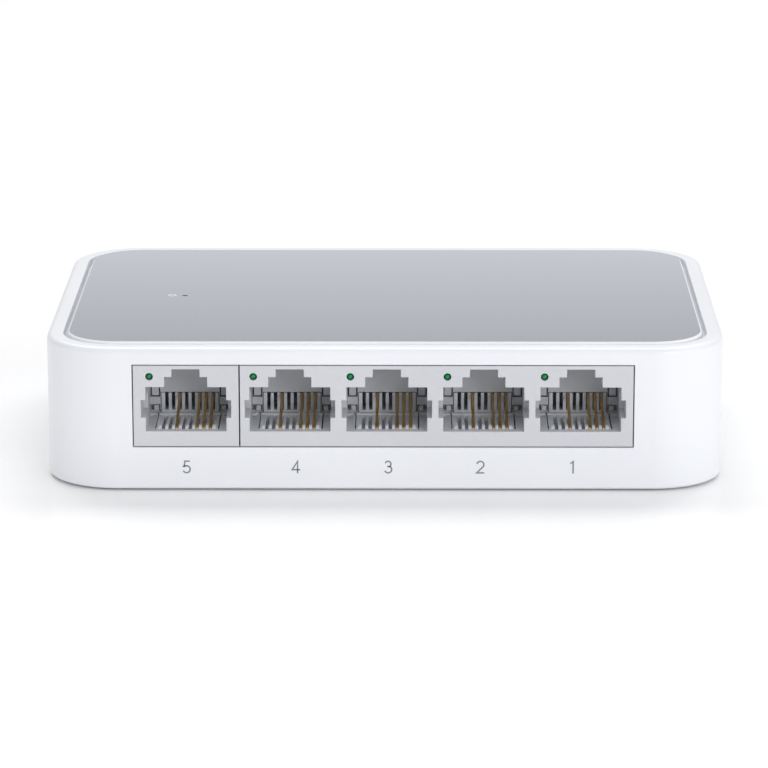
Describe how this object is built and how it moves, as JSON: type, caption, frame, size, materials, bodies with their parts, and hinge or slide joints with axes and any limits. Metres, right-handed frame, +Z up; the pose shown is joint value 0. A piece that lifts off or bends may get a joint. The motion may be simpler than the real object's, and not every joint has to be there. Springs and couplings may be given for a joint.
{
  "type": "desktop network switch",
  "caption": "Small desktop Ethernet switch: white moulded case, grey top panel, a row of modular jacks with sprung contacts in the front wall, and a side power inlet.",
  "frame": {"origin": "centre of the footprint on the surface the switch stands on", "axes": "+X along the row of ports, to the right as the ports are faced; -Y out of the ports; +Z up"},
  "size_m": [0.1036, 0.07, 0.0225],
  "materials": {
    "white_case": "moulded ABS, fine satin texture with a soft gloss",
    "grey_inlay": "painted ABS panel, satin metallic grey",
    "foot_rubber": "die-cut elastomer pad",
    "circuit_board": "glass-epoxy laminate with green solder mask",
    "plated_steel": "nickel-plated steel",
    "spring_metal": "tin-plated phosphor bronze",
    "chip_resin": "moulded epoxy",
    "moulded_black": "moulded epoxy and ferrite",
    "inlet_plastic": "moulded black polyamide",
    "aluminium_can": "drawn aluminium can",
    "jack_plastic": "moulded light grey polyester, satin",
    "carrier_plastic": "moulded grey polyester",
    "contact_gold": "gold flash on phosphor bronze wire",
    "green_lens": "moulded green epoxy lens",
    "clear_pipe": "moulded clear acrylic, unlit"
  },
  "bodies": {
    "case": {"top_cover": "white_case", "top_inlay": "grey_inlay", "bottom_cover": "white_case", "rubber_foot_front_left": "foot_rubber", "rubber_foot_front_right": "foot_rubber", "rubber_foot_rear_left": "foot_rubber", "rubber_foot_rear_right": "foot_rubber", "main_board": "circuit_board", "board_screw_left": "plated_steel", "board_screw_right": "plated_steel", "switch_chip": "chip_resin", "magnetics_ganged": "moulded_black", "magnetics_single": "moulded_black", "voltage_regulator": "chip_resin", "power_inductor": "moulded_black", "input_capacitor": "aluminium_can", "output_capacitor": "aluminium_can", "clock_crystal": "aluminium_can", "jack_housing_single": "jack_plastic", "jack_housing_ganged": "jack_plastic", "port_5_contact_carrier": "carrier_plastic", "port_5_lamp": "green_lens", "port_4_contact_carrier": "carrier_plastic", "port_4_lamp": "green_lens", "port_3_contact_carrier": "carrier_plastic", "port_3_lamp": "green_lens", "port_2_contact_carrier": "carrier_plastic", "port_2_lamp": "green_lens", "port_1_contact_carrier": "carrier_plastic", "port_1_lamp": "green_lens", "power_inlet_housing": "inlet_plastic", "power_inlet_pin": "plated_steel", "power_lamp": "green_lens", "power_light_pipe": "clear_pipe"},
    "port_5_contacts": {"port_5_contact_6": "contact_gold", "port_5_contact_3": "contact_gold", "port_5_contact_2": "contact_gold", "port_5_contact_1": "contact_gold"},
    "port_4_contacts": {"port_4_contact_6": "contact_gold", "port_4_contact_3": "contact_gold", "port_4_contact_2": "contact_gold", "port_4_contact_1": "contact_gold"},
    "port_3_contacts": {"port_3_contact_6": "contact_gold", "port_3_contact_3": "contact_gold", "port_3_contact_2": "contact_gold", "port_3_contact_1": "contact_gold"},
    "port_2_contacts": {"port_2_contact_6": "contact_gold", "port_2_contact_3": "contact_gold", "port_2_contact_2": "contact_gold", "port_2_contact_1": "contact_gold"},
    "port_1_contacts": {"port_1_contact_6": "contact_gold", "port_1_contact_3": "contact_gold", "port_1_contact_2": "contact_gold", "port_1_contact_1": "contact_gold"},
    "inlet_leaf": {"power_inlet_leaf": "spring_metal"}
  },
  "joints": [
    {"name": "port_5_contact_flex", "type": "hinge", "parent": "case", "child": "port_5_contacts", "pos_m": [-0.02998, -0.03265, 0.00905], "axis": [-1, 0, 0], "range_deg": [0, 12], "stiffness_Nm_per_rad": 0.1},
    {"name": "port_4_contact_flex", "type": "hinge", "parent": "case", "child": "port_4_contacts", "pos_m": [-0.01427, -0.03265, 0.00905], "axis": [-1, 0, 0], "range_deg": [0, 12], "stiffness_Nm_per_rad": 0.1},
    {"name": "port_3_contact_flex", "type": "hinge", "parent": "case", "child": "port_3_contacts", "pos_m": [0.00037, -0.03265, 0.00905], "axis": [-1, 0, 0], "range_deg": [0, 12], "stiffness_Nm_per_rad": 0.1},
    {"name": "port_2_contact_flex", "type": "hinge", "parent": "case", "child": "port_2_contacts", "pos_m": [0.01501, -0.03265, 0.00905], "axis": [-1, 0, 0], "range_deg": [0, 12], "stiffness_Nm_per_rad": 0.1},
    {"name": "port_1_contact_flex", "type": "hinge", "parent": "case", "child": "port_1_contacts", "pos_m": [0.02965, -0.03265, 0.00905], "axis": [-1, 0, 0], "range_deg": [0, 12], "stiffness_Nm_per_rad": 0.1},
    {"name": "inlet_leaf_flex", "type": "hinge", "parent": "case", "child": "inlet_leaf", "pos_m": [-0.0422, -0.0035, 0.0099], "axis": [0, 0, -1], "range_deg": [0, 4], "stiffness_Nm_per_rad": 0.02}
  ]
}
